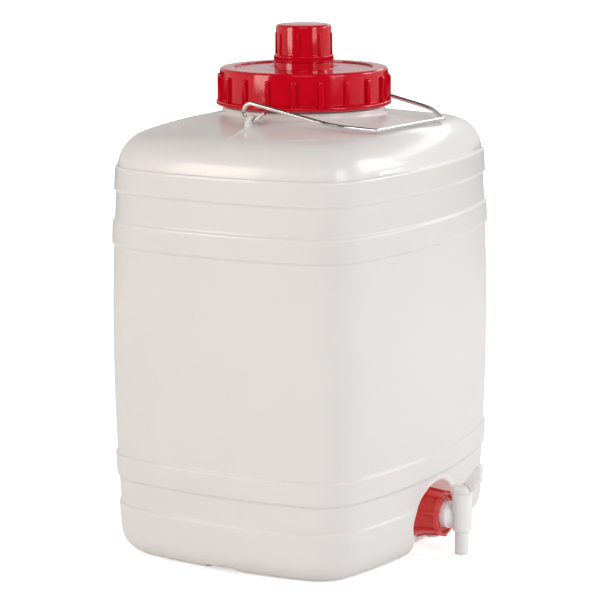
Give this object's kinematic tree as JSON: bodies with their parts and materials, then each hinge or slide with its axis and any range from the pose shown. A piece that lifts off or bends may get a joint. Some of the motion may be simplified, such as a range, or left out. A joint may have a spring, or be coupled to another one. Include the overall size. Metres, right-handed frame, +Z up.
{
  "type": "plastic drum with tap",
  "caption": "Square-sided moulded drum for liquids with a ribbed screw lid, a capped pouring spout, a folding wire bail and a tap at the foot.",
  "frame": {"origin": "centre of the part's box on the plane that the drum stands on", "axes": "+Z up along the neck, -Y towards the tap, X along the bail's pivots"},
  "size_m": [0.2672, 0.2601, 0.3795],
  "materials": {
    "natural_plastic": "satin, slightly translucent",
    "red_plastic": "glossy",
    "plated_wire": "bright zinc plating",
    "tap_plastic": "smooth, slightly translucent",
    "seal_rubber": "matte"
  },
  "bodies": {
    "drum": {"drum_body": "natural_plastic", "tap_nut": "red_plastic", "tap_gasket": "seal_rubber", "tap_body": "tap_plastic"},
    "bail": {"bail_handle": "plated_wire"},
    "lid_seal": {"lid_gasket": "seal_rubber"},
    "screw_lid": {"lid": "red_plastic"},
    "cap_seal": {"cap_liner": "seal_rubber"},
    "small_cap": {"spout_cap": "red_plastic"},
    "tap_key": {"tap_plug": "tap_plastic"}
  },
  "joints": [
    {"name": "bail_swing", "type": "hinge", "parent": "drum", "child": "bail", "pos_m": [0, 0.0165, 0.32265], "axis": [-1, 0, 0], "range_deg": [0, 193]},
    {"name": "lid_rise", "type": "slide", "parent": "drum", "child": "lid_seal", "axis": [0, 0, 1], "range_m": [0, 0.012]},
    {"name": "lid_turn", "type": "hinge", "parent": "lid_seal", "child": "screw_lid", "pos_m": [0, 0.0165, 0.3223], "axis": [0, 0, 1], "range_deg": [0, 720]},
    {"name": "cap_rise", "type": "slide", "parent": "screw_lid", "child": "cap_seal", "axis": [0, 0, 1], "range_m": [0, 0.006]},
    {"name": "cap_turn", "type": "hinge", "parent": "cap_seal", "child": "small_cap", "pos_m": [0, 0.0165, 0.3529], "axis": [0, 0, 1], "range_deg": [0, 720]},
    {"name": "tap_turn", "type": "hinge", "parent": "drum", "child": "tap_key", "pos_m": [0, -0.1138, 0.0465], "axis": [0, 0, 1], "range_deg": [0, 90]}
  ],
  "couplings": [
    {"joint": "lid_rise", "follows": "lid_turn", "m_per_rad": 0.00095492},
    {"joint": "cap_rise", "follows": "cap_turn", "m_per_rad": 0.00047746}
  ]
}
